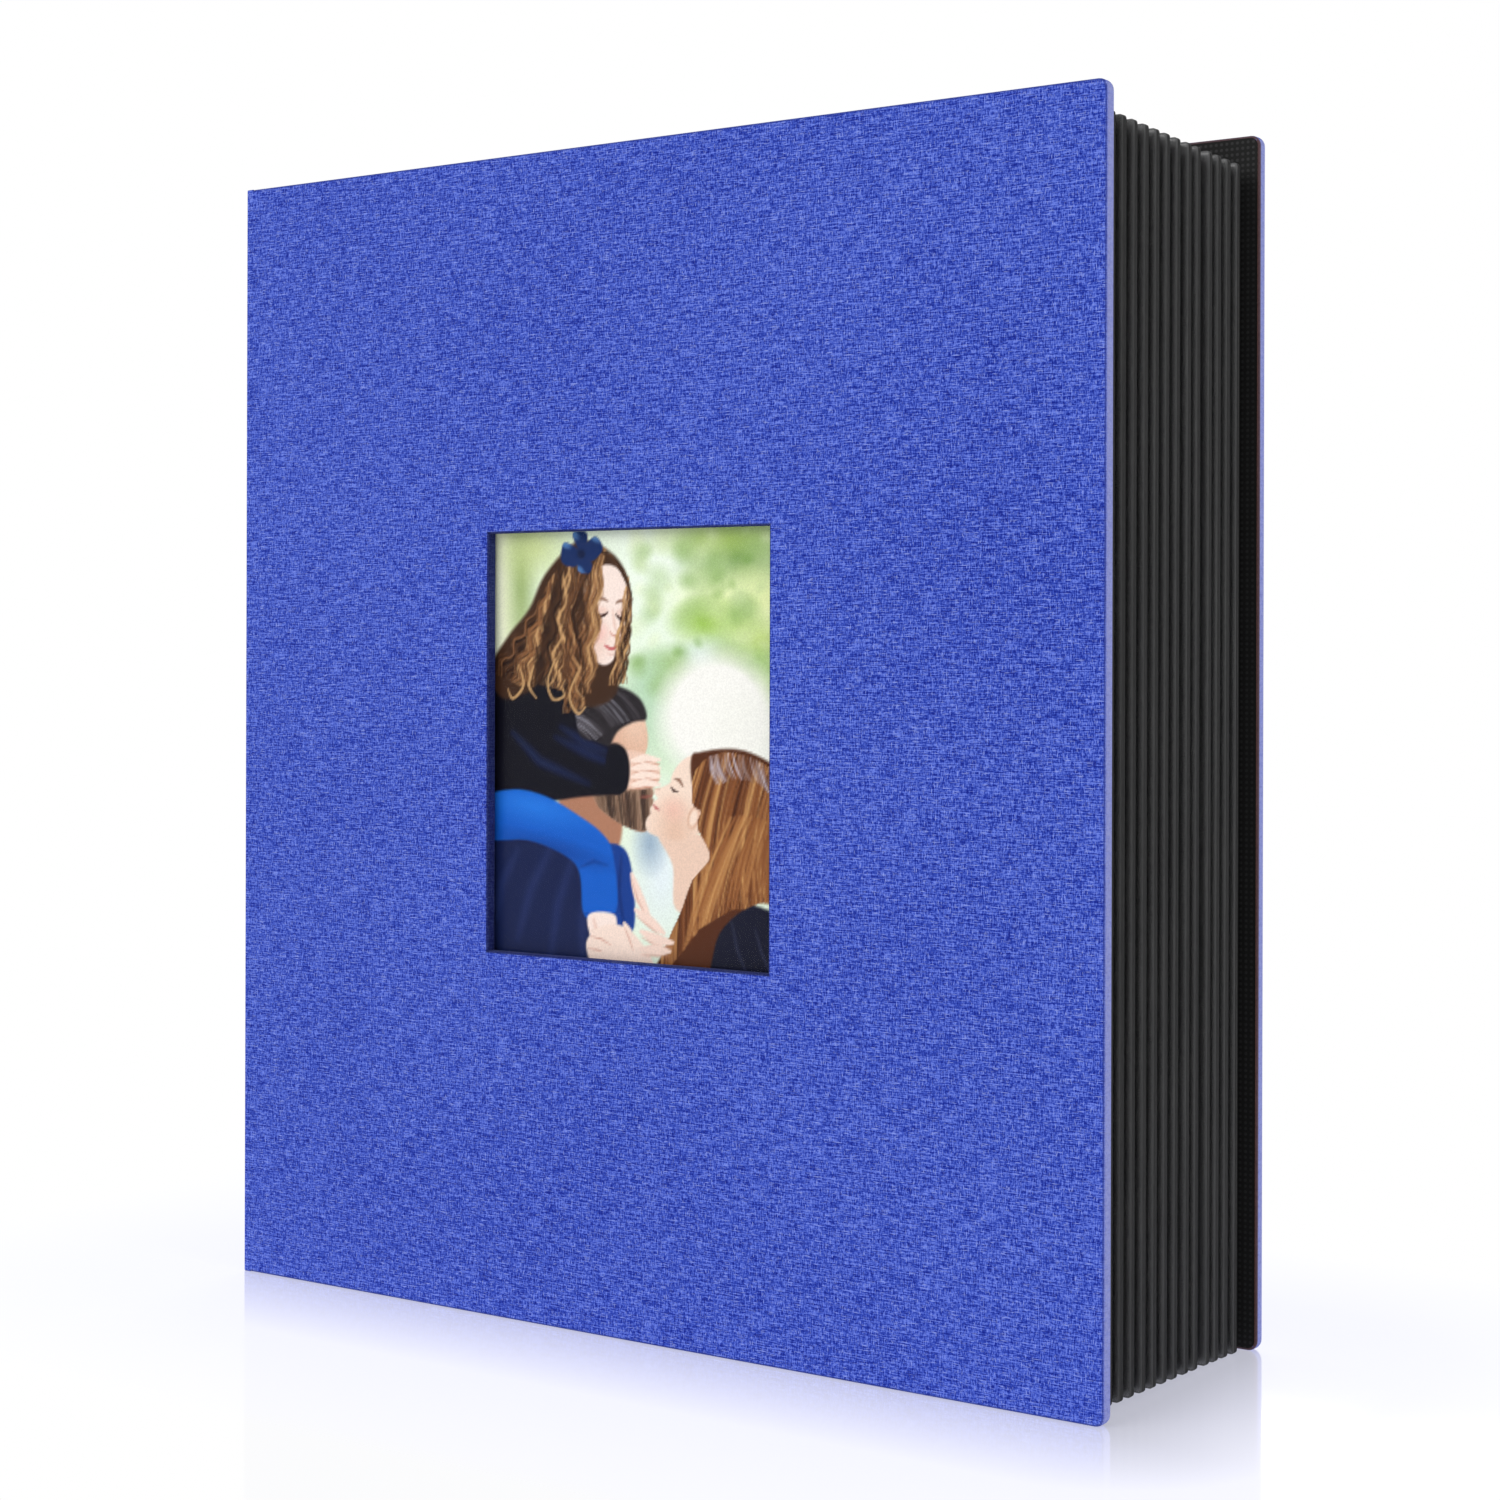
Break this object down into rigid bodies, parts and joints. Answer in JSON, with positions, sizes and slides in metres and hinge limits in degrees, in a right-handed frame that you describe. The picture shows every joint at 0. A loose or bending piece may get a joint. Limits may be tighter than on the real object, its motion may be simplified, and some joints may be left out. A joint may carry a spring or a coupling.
{
  "type": "scrapbook photo album",
  "caption": "Square-back cloth-covered photo and scrapbook album with a cover window, hinged covers and fanning black pocket leaves.",
  "frame": {"origin": "centre of the closed album's footprint, on the surface it stands on", "axes": "+X from the spine to the fore-edge, +Y from the front cover to the back cover, +Z from tail to head"},
  "size_m": [0.3, 0.095, 0.337],
  "materials": {
    "linen_cloth": "heathered blue linen book cloth, matt with a slight sheen",
    "grey_board": "dense grey binder's board",
    "black_lining": "embossed black lining paper",
    "clear_film": "clear soft pocket film with welded seams",
    "black_sheet": "matt black card",
    "spacer_card": "matt black spacer card",
    "binding_gauze": "glued cotton gauze",
    "photo_paper": "semi-gloss photographic print"
  },
  "bodies": {
    "spine": {"spine_board": "grey_board", "spine_cloth": "linen_cloth", "front_hinge_cloth": "linen_cloth", "back_hinge_cloth": "linen_cloth", "front_hinge_lining": "black_lining", "back_hinge_lining": "black_lining", "spine_mull": "binding_gauze", "section_stubs": "black_sheet", "binding_spacers": "spacer_card", "end_guards": "spacer_card", "section_creases": "black_sheet"},
    "front_cover": {"front_board": "grey_board", "front_cloth": "linen_cloth", "front_lining": "black_lining", "window_sleeve": "clear_film"},
    "cover_print": {"cover_print": "photo_paper"},
    "back_cover": {"back_board": "grey_board", "back_cloth": "linen_cloth", "back_lining": "black_lining"},
    "section_01": {"section_01_sheets": "black_sheet", "section_01_pockets": "clear_film"},
    "section_02": {"section_02_sheets": "black_sheet", "section_02_pockets": "clear_film"},
    "section_03": {"section_03_sheets": "black_sheet", "section_03_pockets": "clear_film"},
    "section_04": {"section_04_sheets": "black_sheet", "section_04_pockets": "clear_film"},
    "section_05": {"section_05_sheets": "black_sheet", "section_05_pockets": "clear_film"},
    "section_06": {"section_06_sheets": "black_sheet", "section_06_pockets": "clear_film"},
    "section_07": {"section_07_sheets": "black_sheet", "section_07_pockets": "clear_film"},
    "section_08": {"section_08_sheets": "black_sheet", "section_08_pockets": "clear_film"},
    "section_09": {"section_09_sheets": "black_sheet", "section_09_pockets": "clear_film"},
    "section_10": {"section_10_sheets": "black_sheet", "section_10_pockets": "clear_film"},
    "section_11": {"section_11_sheets": "black_sheet", "section_11_pockets": "clear_film"},
    "section_12": {"section_12_sheets": "black_sheet", "section_12_pockets": "clear_film"},
    "section_13": {"section_13_sheets": "black_sheet", "section_13_pockets": "clear_film"}
  },
  "joints": [
    {"name": "front_cover_hinge", "type": "hinge", "parent": "spine", "child": "front_cover", "pos_m": [-0.1498, -0.0473, 0.1685], "axis": [0, 0, -1], "range_deg": [0, 178], "deforming": ["front_hinge_cloth", "front_hinge_lining", "section_creases"]},
    {"name": "back_cover_hinge", "type": "hinge", "parent": "spine", "child": "back_cover", "pos_m": [-0.1498, 0.0473, 0.1685], "axis": [0, 0, 1], "range_deg": [0, 178], "deforming": ["back_hinge_cloth", "back_hinge_lining", "section_creases"]},
    {"name": "cover_print_slide", "type": "slide", "parent": "front_cover", "child": "cover_print", "axis": [0, 0, 1], "range_m": [0, 0.16]},
    {"name": "section_01_turn", "type": "hinge", "parent": "spine", "child": "section_01", "pos_m": [-0.1303, -0.0375, 0.1685], "axis": [0, 0, -1], "range_deg": [0, 65]},
    {"name": "section_02_turn", "type": "hinge", "parent": "spine", "child": "section_02", "pos_m": [-0.1303, -0.03125, 0.1685], "axis": [0, 0, -1], "range_deg": [0, 55]},
    {"name": "section_03_turn", "type": "hinge", "parent": "spine", "child": "section_03", "pos_m": [-0.1303, -0.025, 0.1685], "axis": [0, 0, -1], "range_deg": [0, 45]},
    {"name": "section_04_turn", "type": "hinge", "parent": "spine", "child": "section_04", "pos_m": [-0.1303, -0.01875, 0.1685], "axis": [0, 0, -1], "range_deg": [0, 35]},
    {"name": "section_05_turn", "type": "hinge", "parent": "spine", "child": "section_05", "pos_m": [-0.1303, -0.0125, 0.1685], "axis": [0, 0, -1], "range_deg": [0, 25]},
    {"name": "section_06_turn", "type": "hinge", "parent": "spine", "child": "section_06", "pos_m": [-0.1303, -0.00625, 0.1685], "axis": [0, 0, -1], "range_deg": [0, 15]},
    {"name": "section_07_turn", "type": "hinge", "parent": "spine", "child": "section_07", "pos_m": [-0.1303, 0, 0.1685], "axis": [0, 0, -1], "range_deg": [0, 5]},
    {"name": "section_08_turn", "type": "hinge", "parent": "spine", "child": "section_08", "pos_m": [-0.1303, 0.00625, 0.1685], "axis": [0, 0, 1], "range_deg": [0, 15]},
    {"name": "section_09_turn", "type": "hinge", "parent": "spine", "child": "section_09", "pos_m": [-0.1303, 0.0125, 0.1685], "axis": [0, 0, 1], "range_deg": [0, 25]},
    {"name": "section_10_turn", "type": "hinge", "parent": "spine", "child": "section_10", "pos_m": [-0.1303, 0.01875, 0.1685], "axis": [0, 0, 1], "range_deg": [0, 35]},
    {"name": "section_11_turn", "type": "hinge", "parent": "spine", "child": "section_11", "pos_m": [-0.1303, 0.025, 0.1685], "axis": [0, 0, 1], "range_deg": [0, 45]},
    {"name": "section_12_turn", "type": "hinge", "parent": "spine", "child": "section_12", "pos_m": [-0.1303, 0.03125, 0.1685], "axis": [0, 0, 1], "range_deg": [0, 55]},
    {"name": "section_13_turn", "type": "hinge", "parent": "spine", "child": "section_13", "pos_m": [-0.1303, 0.0375, 0.1685], "axis": [0, 0, 1], "range_deg": [0, 65]}
  ],
  "couplings": [
    {"joint": "section_01_turn", "follows": "front_cover_hinge", "ratio": 0.36517},
    {"joint": "section_02_turn", "follows": "front_cover_hinge", "ratio": 0.30899},
    {"joint": "section_03_turn", "follows": "front_cover_hinge", "ratio": 0.25281},
    {"joint": "section_04_turn", "follows": "front_cover_hinge", "ratio": 0.19663},
    {"joint": "section_05_turn", "follows": "front_cover_hinge", "ratio": 0.14045},
    {"joint": "section_06_turn", "follows": "front_cover_hinge", "ratio": 0.084269},
    {"joint": "section_07_turn", "follows": "front_cover_hinge", "ratio": 0.028089},
    {"joint": "section_08_turn", "follows": "back_cover_hinge", "ratio": 0.084269},
    {"joint": "section_09_turn", "follows": "back_cover_hinge", "ratio": 0.14045},
    {"joint": "section_10_turn", "follows": "back_cover_hinge", "ratio": 0.19663},
    {"joint": "section_11_turn", "follows": "back_cover_hinge", "ratio": 0.25281},
    {"joint": "section_12_turn", "follows": "back_cover_hinge", "ratio": 0.30899},
    {"joint": "section_13_turn", "follows": "back_cover_hinge", "ratio": 0.36517}
  ]
}
